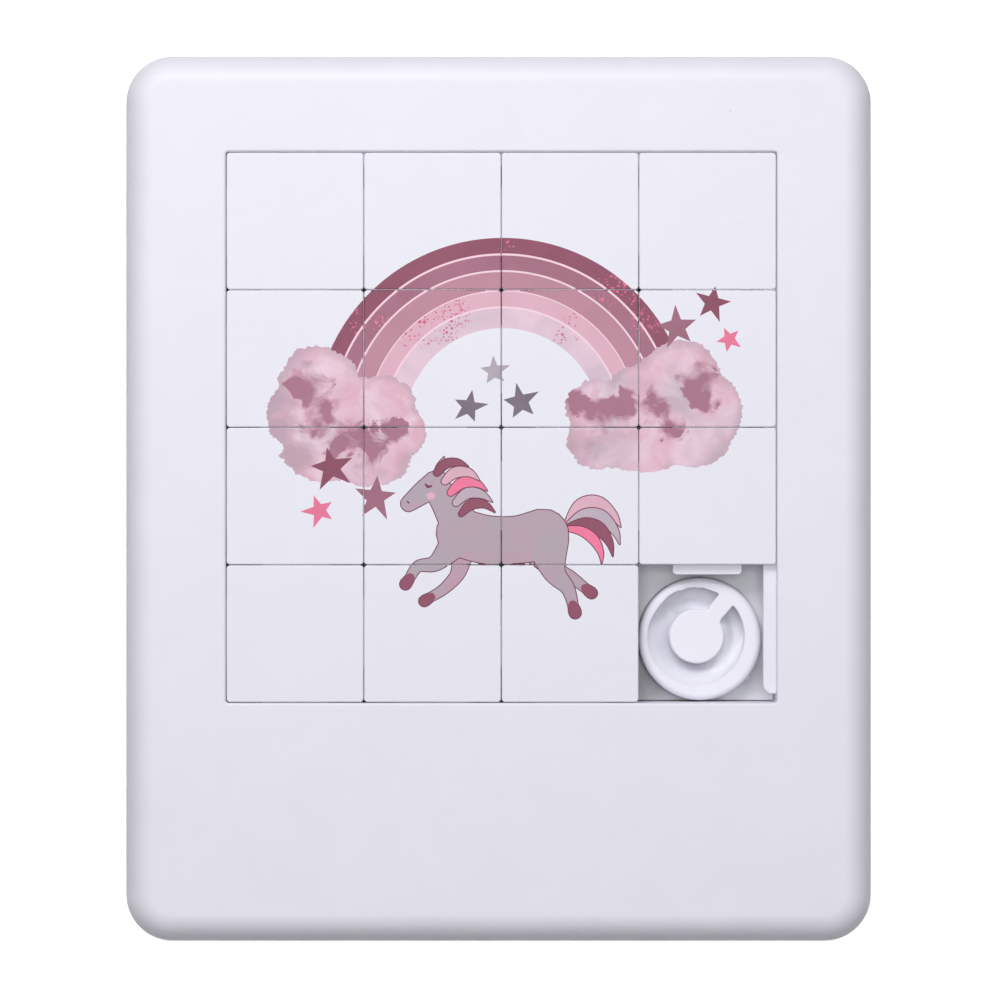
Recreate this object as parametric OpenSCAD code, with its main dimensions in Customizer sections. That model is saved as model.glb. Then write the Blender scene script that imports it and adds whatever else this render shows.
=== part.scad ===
// Sliding tile puzzle: a flat framed tray with fifteen square tiles and one free cell.
// All sizes are in millimetres. The puzzle lies face up with its back on z = 0.

/* [Body] */

// Width of the body, side to side
body_width = 80; // [76:0.5:88]

// Height of the body, top edge to bottom edge
body_height = 95; // [92:0.5:105]

// Thickness of the body, back to face
body_thickness = 9; // [8.5:0.1:11]

// Radius of the four outline corners
corner_radius = 5; // [4:0.1:8]

// Radius of the rounded edge round the face
face_edge_radius = 3; // [1.5:0.1:3.5]

// Radius of the rounded edge round the back
back_edge_radius = 1; // [0.4:0.1:1.2]

// How far the tile field sits to the right of the body's middle
field_shift_x = 0.3; // [-1:0.05:1]

// How far the tile field sits above the body's middle
field_shift_y = 7.6; // [5:0.1:9]

/* [Tiles] */

// Distance from one tile's middle to the next
tile_pitch = 14.7; // [14:0.05:15]

// Gap between two tiles, and between a tile and the wall
tile_gap = 0.1; // [0.08:0.01:0.3]

// Thickness of a tile
tile_thickness = 2.8; // [2.6:0.1:3.2]

// How far a tile's top lies below the frame's face
tile_drop = 0.1; // [0:0.05:0.4]

// Radius of a tile's corners, seen from above
tile_corner_radius = 0.35; // [0.25:0.05:1]

// Bevel round a tile's top edge
tile_bevel = 0.12; // [0.08:0.02:0.2]

/* [Tongues and grooves] */

// Width of a tongue along the tile's side
tongue_width = 7.4; // [5:0.1:9]

// How far a tongue stands out from the tile's side
tongue_out = 1.1; // [0.8:0.05:1.2]

// Thickness of a tongue, and of the frame's rails
tongue_thickness = 0.8; // [0.6:0.05:0.9]

// Radius of a tongue's two outer corners
tongue_corner_radius = 0.4; // [0.1:0.05:0.6]

// Height of a groove
groove_height = 1; // [0.9:0.05:1.2]

// Depth of a groove, in from the tile's side
groove_depth = 1.6; // [1.5:0.05:1.9]

// Thickness of the lip above a groove
groove_lip = 1; // [0.8:0.05:1.1]

// How far the frame's rails stand out from the wall
rail_out = 1.4; // [1:0.05:1.5]

// Distance from a rail's free end to the next wall
rail_end_gap = 0.95; // [0.5:0.05:2]

// Depth of the slots in the frame that take the outer tongues
slot_depth = 1.2; // [1.1:0.05:1.5]

/* [Shell] */

// Wall thickness at the body's sides
side_wall = 2.4; // [2:0.1:3]

// Wall thickness under the face
face_wall = 2.2; // [1.6:0.1:2.6]

// Thickness of the wall round the tile field
field_wall = 3; // [2.6:0.1:3.5]

// Thickness of the two ribs inside the lower part
rib_thickness = 1.2; // [0.8:0.1:2]

/* [Back cover] */

// Thickness of the back cover
cover_thickness = 1.6; // [1.2:0.1:2]

// Distance from the body's outline to the cover's recess
cover_inset = 1.6; // [1.2:0.1:2.2]

// Gap round the back cover
cover_gap = 0.1; // [0.05:0.01:0.2]

// Height of the tray floor above the rest of the cover
floor_raise = 1.8; // [0.8:0.1:2.2]

// Diameter of the cover's four locating pins
pin_diameter = 2.8; // [2:0.1:3.2]

// Height of the locating pins above the cover
pin_height = 3.6; // [2:0.1:4]

// Radial clearance of a pin in its socket
pin_clearance = 0.05; // [0.03:0.01:0.1]

// Diameter of the four sockets' bosses
boss_diameter = 6; // [5:0.1:6.4]

/* [Ring] */

// Outside diameter of the ring in the free cell
ring_diameter = 13.2; // [12.8:0.1:13.2]

// How far the ring's middle lies left of the free cell's middle
ring_left = 0.7; // [0.65:0.01:0.75]

// How far the ring's middle lies below the free cell's middle
ring_low = 0.65; // [0.5:0.01:0.7]

// Outside diameter of the dished channel round the hub
channel_diameter = 10.3; // [9.8:0.1:10.4]

// Diameter of the ring's hub
hub_diameter = 5.9; // [5:0.1:6.4]

// How far the hub and its channel sit left of the ring's middle
hub_shift_x = 0.35; // [0:0.05:0.4]

// How far the hub and its channel sit above the ring's middle
hub_shift_y = 0.3; // [0:0.05:0.4]

// Width of the spoke at the hub
spoke_hub_width = 1.9; // [1.2:0.1:2.4]

// Width of the spoke at the rim
spoke_rim_width = 2; // [1.2:0.1:2.8]

// Direction of the spoke, anticlockwise from the right
spoke_angle = 51; // [0:1:359]

// Depth of the dished channel between hub and rim
dish_depth = 2.1; // [1:0.1:2.3]

// Radius of the rim's outer top edge
rim_edge_radius = 0.6; // [0.2:0.05:0.7]

// Gap between the ring's top and a tile that passes over it
ring_clearance = 0.12; // [0.08:0.01:0.4]

// Depth of the ring's round seat in the tray floor
seat_depth = 0.5; // [0.3:0.1:0.9]

/* [Colours] */

// Colour of the frame and the back cover
body_colour = "WhiteSmoke"; // [WhiteSmoke, White, Ivory, Lavender]

// Colour of the tiles
tile_colour = "GhostWhite"; // [GhostWhite, White, Ivory, MistyRose]

// Colour of the ring
ring_colour = "White"; // [White, WhiteSmoke, Ivory]

/* [Hidden] */

$fn = 64;

field_size = 4 * tile_pitch + tile_gap;
field_half = field_size / 2;
tile_size = tile_pitch - tile_gap;
tile_half = tile_size / 2;

tile_top_z = body_thickness - tile_drop;
tile_under_z = tile_top_z - tile_thickness;
groove_top_z = tile_top_z - groove_lip;
groove_z = groove_top_z - groove_height;
tongue_z = groove_z + (groove_height - tongue_thickness) / 2;

cavity_top_z = body_thickness - face_wall;
floor_z = cover_thickness + floor_raise;

pin_x = body_width / 2 - side_wall - 2.6;
pin_top_y = body_height / 2 - side_wall - 2.6;

free_x = 1.5 * tile_pitch;
free_y = -1.5 * tile_pitch;
ring_x = field_shift_x + free_x - ring_left;
ring_y = field_shift_y + free_y - ring_low;
ring_z = floor_z - seat_depth;
ring_top_z = tile_under_z - ring_clearance;
ring_height = ring_top_z - ring_z;
channel_radius = channel_diameter / 2;
spoke_reach = (ring_diameter + channel_diameter) / 4;

// A rectangle with round corners, centred.
module rounded_plan(w, h, r) {
  square([w - 2 * r, h], center = true);
  square([w, h - 2 * r], center = true);
  for (x = [-1, 1], y = [-1, 1])
    translate([x * (w / 2 - r), y * (h / 2 - r)])
      circle(r = r);
}

// A slab with round corners.
module rounded_slab(w, h, r, t) {
  linear_extrude(height = t)
    rounded_plan(w, h, r);
}

// The profile of one corner's rounded edge, revolved about the corner's middle.
module corner_turn(r, f) {
  rotate_extrude()
    union() {
      square([r - f, f]);
      intersection() {
        translate([r - f, 0])
          circle(r = f);
        translate([r - f - 0.01, 0])
          square([f + 0.02, f + 0.02]);
      }
    }
}

// The layer that carries a rounded edge of radius f, from z = 0 upwards.
module rounded_edge_layer(w, h, r, f) {
  rounded_slab(w - 2 * f, h - 2 * f, r - f, f);
  for (x = [-1, 1])
    translate([x * (w / 2 - f), 0, 0])
      intersection() {
        rotate([90, 0, 0])
          cylinder(r = f, h = h - 2 * r, center = true);
        translate([-2 * f, -h, 0])
          cube([4 * f, 2 * h, 2 * f]);
      }
  for (y = [-1, 1])
    translate([0, y * (h / 2 - f), 0])
      intersection() {
        rotate([0, 90, 0])
          cylinder(r = f, h = w - 2 * r, center = true);
        translate([-w, -2 * f, 0])
          cube([2 * w, 4 * f, 2 * f]);
      }
  for (x = [-1, 1], y = [-1, 1])
    translate([x * (w / 2 - r), y * (h / 2 - r), 0])
      corner_turn(r, f);
}

// The outer body: straight sides with a rounded edge at the face and at the back.
module body_blank() {
  translate([0, 0, back_edge_radius])
    rounded_slab(
      body_width, body_height, corner_radius,
      body_thickness - face_edge_radius - back_edge_radius
    );
  translate([0, 0, body_thickness - face_edge_radius])
    rounded_edge_layer(body_width, body_height, corner_radius, face_edge_radius);
  translate([0, 0, back_edge_radius])
    mirror([0, 0, 1])
      rounded_edge_layer(body_width, body_height, corner_radius, back_edge_radius);
}

// Puts something at each of the four places of the cover's pins.
module pin_places() {
  for (x = [-1, 1], y = [-1, 1])
    translate([x * pin_x, y * pin_top_y, 0])
      children();
}

// The closed hollow inside the frame, round the tile field.
module frame_hollow() {
  difference() {
    translate([0, 0, cover_thickness - 0.5])
      rounded_slab(
        body_width - 2 * side_wall, body_height - 2 * side_wall,
        corner_radius - side_wall, cavity_top_z - cover_thickness + 0.5
      );
    translate([field_shift_x, field_shift_y, body_thickness / 2])
      cube([field_size + 2 * field_wall, field_size + 2 * field_wall, 2 * body_thickness], center = true);
    pin_places()
      cylinder(d = boss_diameter, h = body_thickness);
    for (x = [-1, 1])
      translate([x * body_width / 6 - rib_thickness / 2, -body_height / 2, 0])
        cube([rib_thickness, body_height / 2, body_thickness]);
  }
}

// A 45 degree bevel along one side of the field's upper rim.
module rim_bevel(turn) {
  rotate([0, 0, turn])
    translate([0, field_half, body_thickness])
      rotate([45, 0, 0])
        cube([field_size + 0.4, 0.56, 0.56], center = true);
}

// One rail, with its free end rounded, standing out from a wall along +Y.
module rail(length) {
  linear_extrude(height = tongue_thickness)
    union() {
      translate([-rail_out, rail_out * 0.7])
        square([rail_out + 0.3, length - rail_out * 0.7]);
      translate([-rail_out * 0.3, 0])
        square([rail_out * 0.3 + 0.3, length]);
      translate([-rail_out * 0.3, rail_out * 0.7])
        circle(r = rail_out * 0.7);
    }
}

// The one-piece front: face, sides, field walls, rails and slots.
module front_frame() {
  color(body_colour)
    difference() {
      union() {
        difference() {
          body_blank();
          translate([field_shift_x, field_shift_y, body_thickness / 2])
            cube([field_size, field_size, 2 * body_thickness], center = true);
        }
        translate([field_shift_x, field_shift_y, tongue_z]) {
          translate([field_half, rail_end_gap - field_half, 0])
            rail(field_size - rail_end_gap + 0.2);
          translate([rail_end_gap - field_half, field_half, 0])
            mirror([1, -1, 0])
              rail(field_size - rail_end_gap + 0.2);
        }
      }
      // recess for the back cover
      translate([0, 0, -1])
        rounded_slab(
          body_width - 2 * cover_inset, body_height - 2 * cover_inset,
          corner_radius - cover_inset, 1 + cover_thickness
        );
      frame_hollow();
      pin_places()
        translate([0, 0, 1])
          cylinder(d = pin_diameter + 2 * pin_clearance, h = cover_thickness + pin_height - 0.7);
      // slots for the outer tongues of the left column and the bottom row
      translate([field_shift_x, field_shift_y, groove_z]) {
        translate([-field_half - slot_depth, -field_half - slot_depth, 0])
          cube([slot_depth + 0.1, field_size + slot_depth, groove_height]);
        translate([-field_half - slot_depth, -field_half - slot_depth, 0])
          cube([field_size + slot_depth, slot_depth + 0.1, groove_height]);
      }
      translate([field_shift_x, field_shift_y, 0])
        for (turn = [0, 90, 180, 270])
          rim_bevel(turn);
    }
}

// The inset cover, with the raised tray floor, the ring's seat and four pins.
module back_cover() {
  color(body_colour) {
    difference() {
      union() {
        rounded_slab(
          body_width - 2 * cover_inset - 2 * cover_gap, body_height - 2 * cover_inset - 2 * cover_gap,
          corner_radius - cover_inset - cover_gap, cover_thickness
        );
        translate([field_shift_x, field_shift_y, 0])
          translate([cover_gap - field_half, cover_gap - field_half, cover_thickness / 2])
            cube([field_size - 2 * cover_gap, field_size - 2 * cover_gap, floor_z - cover_thickness / 2]);
        pin_places()
          translate([0, 0, cover_thickness / 2])
            cylinder(d = pin_diameter, h = pin_height + cover_thickness / 2);
      }
      translate([ring_x, ring_y, ring_z])
        cylinder(d = ring_diameter + 0.16, h = seat_depth + 1);
    }
  }
}

// The ring as a plain disc with a round outer top edge.
module ring_disc() {
  rotate_extrude() {
    square([ring_diameter / 2, ring_height - rim_edge_radius]);
    square([ring_diameter / 2 - rim_edge_radius, ring_height]);
    translate([ring_diameter / 2 - rim_edge_radius, ring_height - rim_edge_radius])
      circle(r = rim_edge_radius);
  }
}

// The dish that is cut into the disc, round below and steep at the rim.
module ring_dish() {
  rotate_extrude() {
    translate([0, ring_height - dish_depth])
      square([channel_radius - dish_depth, dish_depth + 1]);
    translate([channel_radius - dish_depth, ring_height])
      circle(r = dish_depth);
  }
}

// The hub in the middle of the dish, with a fine bevel, and the spoke from the hub to the rim.
module hub_and_spoke() {
  cylinder(d = hub_diameter, h = ring_height - 0.1);
  translate([0, 0, ring_height - 0.1])
    cylinder(d1 = hub_diameter, d2 = hub_diameter - 0.2, h = 0.1);
  rotate([0, 0, spoke_angle])
    translate([0, 0, ring_height - dish_depth - 0.3])
      linear_extrude(height = dish_depth + 0.3)
        polygon([
          [hub_diameter / 2 - 1, -spoke_hub_width / 2], [spoke_reach, -spoke_rim_width / 2],
          [spoke_reach, spoke_rim_width / 2], [hub_diameter / 2 - 1, spoke_hub_width / 2]
        ]);
}

// The round piece that lies in the free cell.
module cell_ring() {
  color(ring_colour)
    translate([ring_x, ring_y, ring_z]) {
      difference() {
        ring_disc();
        translate([-hub_shift_x, hub_shift_y, 0])
          ring_dish();
      }
      translate([-hub_shift_x, hub_shift_y, 0])
        hub_and_spoke();
      // the gate mark on the rim's outer side
      rotate([0, 0, -39])
        translate([ring_diameter / 2 - 0.1, 0, ring_height * 0.5])
          cylinder(d = 0.6, h = ring_height * 0.28);
    }
}

// A plate with round corners and a bevel round its top.
module bevelled_plate(w, r, t, b) {
  profile = [
    [-w / 2, 0], [w / 2, 0], [w / 2, t - b],
    [w / 2 - b, t], [b - w / 2, t], [-w / 2, t - b]
  ];
  rotate([90, 0, 0])
    linear_extrude(height = w - 2 * r, center = true)
      polygon(profile);
  rotate([90, 0, 90])
    linear_extrude(height = w - 2 * r, center = true)
      polygon(profile);
  for (x = [-1, 1], y = [-1, 1])
    translate([x * (w / 2 - r), y * (w / 2 - r), 0]) {
      cylinder(r = r, h = t - b);
      translate([0, 0, t - b])
        cylinder(r1 = r, r2 = r - b, h = b);
    }
}

// A tongue that stands out along -X.
module tongue() {
  linear_extrude(height = tongue_thickness)
    union() {
      translate([-tongue_out + tongue_corner_radius, -tongue_width / 2])
        square([tongue_out - tongue_corner_radius + 0.5, tongue_width]);
      translate([-tongue_out, tongue_corner_radius - tongue_width / 2])
        square([tongue_out + 0.5, tongue_width - 2 * tongue_corner_radius]);
      for (y = [-1, 1])
        translate([tongue_corner_radius - tongue_out, y * (tongue_width / 2 - tongue_corner_radius)])
          circle(r = tongue_corner_radius);
    }
}

// One tile in its place. Columns and rows count from 0 at the top left.
module tile(column, row) {
  color(tile_colour)
    translate([
      field_shift_x + (column - 1.5) * tile_pitch,
      field_shift_y + (1.5 - row) * tile_pitch,
      0
    ]) {
      difference() {
        translate([0, 0, tile_under_z])
          bevelled_plate(tile_size, tile_corner_radius, tile_thickness, tile_bevel);
        // open grooves along the right side and along the upper side
        translate([tile_half - groove_depth, -tile_size, groove_z])
          cube([groove_depth + 1, 2 * tile_size, groove_height]);
        translate([-tile_size, tile_half - groove_depth, groove_z])
          cube([2 * tile_size, groove_depth + 1, groove_height]);
      }
      // tongues on the left side and on the lower side
      translate([-tile_half, 0, tongue_z])
        tongue();
      translate([0, -tile_half, tongue_z])
        rotate([0, 0, 90])
          tongue();
    }
}

module tile_01() { tile(0, 0); }
module tile_02() { tile(1, 0); }
module tile_03() { tile(2, 0); }
module tile_04() { tile(3, 0); }
module tile_05() { tile(0, 1); }
module tile_06() { tile(1, 1); }
module tile_07() { tile(2, 1); }
module tile_08() { tile(3, 1); }
module tile_09() { tile(0, 2); }
module tile_10() { tile(1, 2); }
module tile_11() { tile(2, 2); }
module tile_12() { tile(3, 2); }
module tile_13() { tile(0, 3); }
module tile_14() { tile(1, 3); }
module tile_15() { tile(2, 3); }

front_frame();
back_cover();
cell_ring();
tile_01();
tile_02();
tile_03();
tile_04();
tile_05();
tile_06();
tile_07();
tile_08();
tile_09();
tile_10();
tile_11();
tile_12();
tile_13();
tile_14();
tile_15();
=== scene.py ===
import bpy
import bmesh
import math
import random
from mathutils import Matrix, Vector, noise
from mathutils.geometry import delaunay_2d_cdt


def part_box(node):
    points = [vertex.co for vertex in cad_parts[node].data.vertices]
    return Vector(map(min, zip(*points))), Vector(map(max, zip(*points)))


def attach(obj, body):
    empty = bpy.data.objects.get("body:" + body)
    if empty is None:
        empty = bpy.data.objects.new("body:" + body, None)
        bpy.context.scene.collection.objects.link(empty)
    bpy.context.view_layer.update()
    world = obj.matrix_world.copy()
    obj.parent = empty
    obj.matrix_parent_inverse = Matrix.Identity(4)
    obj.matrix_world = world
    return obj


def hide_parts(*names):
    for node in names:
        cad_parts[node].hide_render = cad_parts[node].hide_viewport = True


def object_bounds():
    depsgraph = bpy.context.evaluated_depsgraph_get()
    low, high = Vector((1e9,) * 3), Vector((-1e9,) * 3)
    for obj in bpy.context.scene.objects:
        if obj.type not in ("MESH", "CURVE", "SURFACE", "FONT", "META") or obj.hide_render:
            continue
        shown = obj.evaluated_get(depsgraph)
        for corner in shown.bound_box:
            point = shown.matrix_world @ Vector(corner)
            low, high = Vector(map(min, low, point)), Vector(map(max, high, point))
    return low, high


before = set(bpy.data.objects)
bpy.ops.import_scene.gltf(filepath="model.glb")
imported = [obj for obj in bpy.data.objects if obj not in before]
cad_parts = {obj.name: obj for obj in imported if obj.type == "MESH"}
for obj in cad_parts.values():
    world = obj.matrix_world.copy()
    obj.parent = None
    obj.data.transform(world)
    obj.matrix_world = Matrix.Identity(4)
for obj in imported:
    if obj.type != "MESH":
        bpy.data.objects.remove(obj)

cad_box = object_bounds()
MM = 0.001


def box_mm(node):
    """A CAD node's lowest and highest corner, in millimetres."""
    lo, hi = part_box(node)
    return lo / MM, hi / MM


# ---------------------------------------------------------------- sizes, in mm

FRAME_LO, FRAME_HI = box_mm("front_frame")
TILE_LO, TILE_HI = box_mm("tile_01")
RING_LO, RING_HI = box_mm("cell_ring")

# tiles
TONGUE = 1.1  # how far a tongue stands out
TONGUE_W = 7.4  # its width along the tile's side
GROOVE = 1.6  # depth of a groove, in from the side
GROOVE_H = 1.0  # height of a groove
LIP = 1.0  # thickness of the lip above it
GAP = 0.1  # between two tiles
EDGE_R = 0.12  # rounded edge round the top
UNDER_R = 0.15  # rounded edge round the underside
CORNER_R = 0.35  # the four corners, seen from above
TILE = TILE_HI.x - TILE_LO.x - TONGUE
PITCH = TILE + GAP
TOP_Z = TILE_HI.z
UNDER_Z = TILE_LO.z
GROOVE_TOP = TOP_Z - LIP
GROOVE_Z = GROOVE_TOP - GROOVE_H
TONGUE_Z = GROOVE_Z + 0.1

# the thin plate of a tongue or rail, with softened edges: how far in, and how high
PLATE = ((0.08, 0.0), (0.03, 0.02), (0.0, 0.08), (0.0, 0.72), (0.03, 0.78), (0.08, 0.8))
PLATE_R = 0.4  # a tongue's corners

# the tile field
FIELD = 4 * PITCH + GAP
FIELD_X = TILE_HI.x - TILE / 2 + 1.5 * PITCH
FIELD_Y = TILE_HI.y - TILE / 2 - 1.5 * PITCH

# front shell
FACE_Z = FRAME_HI.z
SHELL_R = 5.0  # outline corners
FACE_R = 3.0  # rounded edge round the face
BACK_R = 1.0  # rounded edge round the back
RIM_R = 0.25  # rounded edge round the tile field
RAIL = 1.4  # how far a rail stands out
RAIL_END = 0.95  # from a rail's free end to the next wall
SLOT = 1.2  # depth of the slots for the outer tongues
COVER_T = 1.6  # depth of the recess for the back cover
COVER_IN = 1.6  # from the outline to that recess
FLOOR_Z = 3.4  # the tray floor, on the back cover

# the round piece: its hub and channel sit a little up and to the left of its middle
RING_X, RING_Y = (RING_LO.x + RING_HI.x) / 2, (RING_LO.y + RING_HI.y) / 2
RING_R = (RING_HI.x - RING_LO.x) / 2
HUB_X, HUB_Y = RING_X - 0.35, RING_Y + 0.3
HUB_R = 2.95
RIM_EDGE = 0.6  # rounded outer edge of the rim
SPOKE_TURN = 51  # degrees, anticlockwise from the right
SPOKE_HALF = 0.95  # half its width
CHANNEL_LOW = 2.8  # from the ring's top to the underside of the channel's floor piece


def cell(column, row):
    """The middle of a cell, counted from the top left."""
    return FIELD_X + (column - 1.5) * PITCH, FIELD_Y + (1.5 - row) * PITCH


# ---------------------------------------------------------------- mesh helpers


def round_rect(w, h, r, n=8, cx=0.0, cy=0.0):
    """The points of a rectangle with round corners, anticlockwise from the right."""
    pts = []
    for k, (sx, sy) in enumerate(((1, 1), (-1, 1), (-1, -1), (1, -1))):
        for i in range(n + 1):
            a = math.radians(90 * (k + i / n))
            pts.append(
                (cx + sx * (w / 2 - r) + r * math.cos(a), cy + sy * (h / 2 - r) + r * math.sin(a))
            )
    return pts


def at(x, y, r, degrees):
    """A point on a circle about (x, y)."""
    return (x + r * math.cos(math.radians(degrees)), y + r * math.sin(math.radians(degrees)))


def ring_of(bm, pts, z):
    return [bm.verts.new((x * MM, y * MM, z * MM)) for x, y in pts]


def bridge(bm, a, b, smooth=True, slot=0):
    """Quads between two rings of as many points. slot is one material number, or one for each quad."""
    n = len(a)
    for i in range(n):
        f = bm.faces.new((a[i], a[(i + 1) % n], b[(i + 1) % n], b[i]))
        f.smooth = smooth
        f.material_index = slot if isinstance(slot, int) else slot[i]


def cap(bm, ring, flip=False):
    bm.faces.new(list(reversed(ring)) if flip else ring).smooth = False


def loft(bm, rows, flat=()):
    """A closed skin through rows of (points, z), from low to high. flat holds the flat-shaded bands."""
    rings = [ring_of(bm, pts, z) for pts, z in rows]
    for i in range(len(rings) - 1):
        bridge(bm, rings[i], rings[i + 1], smooth=i not in flat)
    cap(bm, rings[0], flip=True)
    cap(bm, rings[-1])


def fill_between(bm, outer, inner):
    """Flat faces between an outline and a hole in it."""
    loops = []
    for ring in (outer, inner):
        loops += [bm.edges.get((ring[i], ring[(i + 1) % len(ring)])) for i in range(len(ring))]
    for f in bmesh.ops.triangle_fill(bm, edges=loops, use_beauty=True)["geom"]:
        if isinstance(f, bmesh.types.BMFace):
            f.smooth = False


def lathe(bm, profile, cx, cy, n):
    """Revolves (radius, z) points about a vertical axis. A radius of 0 makes a pole."""
    rows = []
    for r, z in profile:
        if r < 1e-6:
            rows.append([bm.verts.new((cx * MM, cy * MM, z * MM))])
            continue
        row = []
        for i in range(n):
            a = 2 * math.pi * i / n
            row.append(bm.verts.new(((cx + r * math.cos(a)) * MM, (cy + r * math.sin(a)) * MM, z * MM)))
        rows.append(row)
    for a, b in zip(rows, rows[1:]):
        for i in range(n):
            j = (i + 1) % n
            if len(a) == 1 and len(b) == 1:
                continue
            if len(a) == 1:
                vs = (a[0], b[j], b[i])
            elif len(b) == 1:
                vs = (a[i], a[j], b[0])
            else:
                vs = (a[i], a[j], b[j], b[i])
            bm.faces.new(vs).smooth = True


def arc(x0, z0, r, a0, a1, n):
    """Points of an arc about (x0, z0) from angle a0 to a1, in degrees."""
    angles = [math.radians(a0 + (a1 - a0) * i / n) for i in range(n + 1)]
    return [(x0 + r * math.cos(a), z0 + r * math.sin(a)) for a in angles]


def finish_mesh(bm, name, materials, body, node):
    """Makes the piece that rides on a body and stands in for a CAD node."""
    bmesh.ops.recalc_face_normals(bm, faces=bm.faces[:])
    me = bpy.data.meshes.new(name)
    bm.to_mesh(me)
    bm.free()
    for m in materials:
        me.materials.append(m)
    ob = bpy.data.objects.new(name, me)
    bpy.context.scene.collection.objects.link(ob)
    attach(ob, body)
    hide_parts(node)


def stage_mesh(bm, name, material):
    """Makes a piece of the stage, which isn't part of the object."""
    me = bpy.data.meshes.new(name)
    bm.to_mesh(me)
    bm.free()
    me.materials.append(material)
    ob = bpy.data.objects.new(name, me)
    bpy.context.scene.collection.objects.link(ob)
    return ob


# ---------------------------------------------------------------- node helpers


def srgb(r, g, b):
    """A display colour, 0 to 255, as linear light."""
    out = []
    for c in (r, g, b):
        c /= 255
        out.append(c / 12.92 if c <= 0.04045 else ((c + 0.055) / 1.055) ** 2.4)
    return (*out, 1.0)


def shade(colour, k):
    """A colour made k times as bright."""
    return (*(min(1.0, c * k) for c in colour[:3]), 1.0)


class Tree:
    """A small wrapper that makes and links nodes."""

    def __init__(self, name):
        self.mat = bpy.data.materials.new(name)
        self.mat.use_nodes = True
        self.nt = self.mat.node_tree
        self.nt.nodes.clear()
        self.out = self.nt.nodes.new("ShaderNodeOutputMaterial")
        self.bsdf = self.nt.nodes.new("ShaderNodeBsdfPrincipled")
        self.nt.links.new(self.bsdf.outputs["BSDF"], self.out.inputs["Surface"])
        self.coord = self.nt.nodes.new("ShaderNodeTexCoord").outputs["Object"]

    def link(self, a, b):
        self.nt.links.new(a, b)

    def shifted(self, x, y, z):
        """The coordinates moved aside, so that one pattern differs from the next."""
        if not x:
            return self.coord
        m = self.nt.nodes.new("ShaderNodeMapping")
        m.inputs["Location"].default_value = (x, y, z)
        self.link(self.coord, m.inputs["Vector"])
        return m.outputs["Vector"]

    def noise(self, size_mm, detail=3.0, rough=0.5, distort=0.0, shift=0.0):
        n = self.nt.nodes.new("ShaderNodeTexNoise")
        n.inputs["Scale"].default_value = 1.0 / (size_mm * MM)
        n.inputs["Detail"].default_value = detail
        n.inputs["Roughness"].default_value = rough
        n.inputs["Distortion"].default_value = distort
        self.link(self.shifted(shift, shift * 0.7, shift * 0.3), n.inputs["Vector"])
        return n.outputs["Fac"]

    def spots(self, size_mm, radius, soft=0.03, shift=0.0):
        """Small round dots as 1 inside and 0 outside, and a random colour for each dot."""
        v = self.nt.nodes.new("ShaderNodeTexVoronoi")
        v.inputs["Scale"].default_value = 1.0 / (size_mm * MM)
        self.link(self.shifted(shift, shift * 0.4, shift * 1.3), v.inputs["Vector"])
        return self.ramp(v.outputs["Distance"], radius, radius + soft, 1.0, 0.0), v.outputs["Color"]

    def distance(self, x, y, z):
        """How far a point is, in metres, from a place given in millimetres."""
        v = self.nt.nodes.new("ShaderNodeVectorMath")
        v.operation = "DISTANCE"
        v.inputs[1].default_value = (x * MM, y * MM, z * MM)
        self.link(self.coord, v.inputs[0])
        return v.outputs["Value"]

    def height(self):
        """How high a point lies, in metres."""
        v = self.nt.nodes.new("ShaderNodeSeparateXYZ")
        self.link(self.coord, v.inputs[0])
        return v.outputs["Z"]

    def nearest(self, places):
        """1 at the middle of any of the (x, y, size) places on the tiles, 0 beyond twice its size."""
        best = None
        for x, y, size in places:
            here = self.ramp(self.distance(x, y, TOP_Z), 0.0, 2 * size * MM, 1.0, 0.0)
            best = here if best is None else self.math("MAXIMUM", best, here)
        return best

    def ramp(self, value, lo, hi, out_lo=0.0, out_hi=1.0):
        m = self.nt.nodes.new("ShaderNodeMapRange")
        m.inputs["From Min"].default_value = lo
        m.inputs["From Max"].default_value = hi
        m.inputs["To Min"].default_value = out_lo
        m.inputs["To Max"].default_value = out_hi
        self.link(value, m.inputs["Value"])
        return m.outputs["Result"]

    def math(self, op, a, b=None):
        m = self.nt.nodes.new("ShaderNodeMath")
        m.operation = op
        for k, v in ((0, a), (1, b)):
            if v is None:
                continue
            if isinstance(v, (int, float)):
                m.inputs[k].default_value = v
            else:
                self.link(v, m.inputs[k])
        return m.outputs[0]

    def mix(self, fac, a, b):
        m = self.nt.nodes.new("ShaderNodeMix")
        m.data_type = "RGBA"
        for k, v in (("Factor", fac), ("A", a), ("B", b)):
            s = [i for i in m.inputs if i.name == k and (k == "Factor" or i.type == "RGBA")][0]
            if isinstance(v, (int, float, tuple)):
                s.default_value = v
            else:
                self.link(v, s)
        return [o for o in m.outputs if o.type == "RGBA"][0]

    def satin(self, lo, hi, strength):
        """A fine grain in the roughness, between lo and hi, and in the surface."""
        grain = self.noise(0.09, 3, 0.6)
        self.link(self.ramp(grain, 0.3, 0.7, lo, hi), self.bsdf.inputs["Roughness"])
        self.link(self.bump(grain, 0.004, strength), self.bsdf.inputs["Normal"])

    def bump(self, height, distance_mm, strength, normal=None):
        b = self.nt.nodes.new("ShaderNodeBump")
        b.inputs["Distance"].default_value = distance_mm * MM
        b.inputs["Strength"].default_value = strength
        self.link(height, b.inputs["Height"])
        if normal is not None:
            self.link(normal, b.inputs["Normal"])
        return b.outputs["Normal"]


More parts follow.
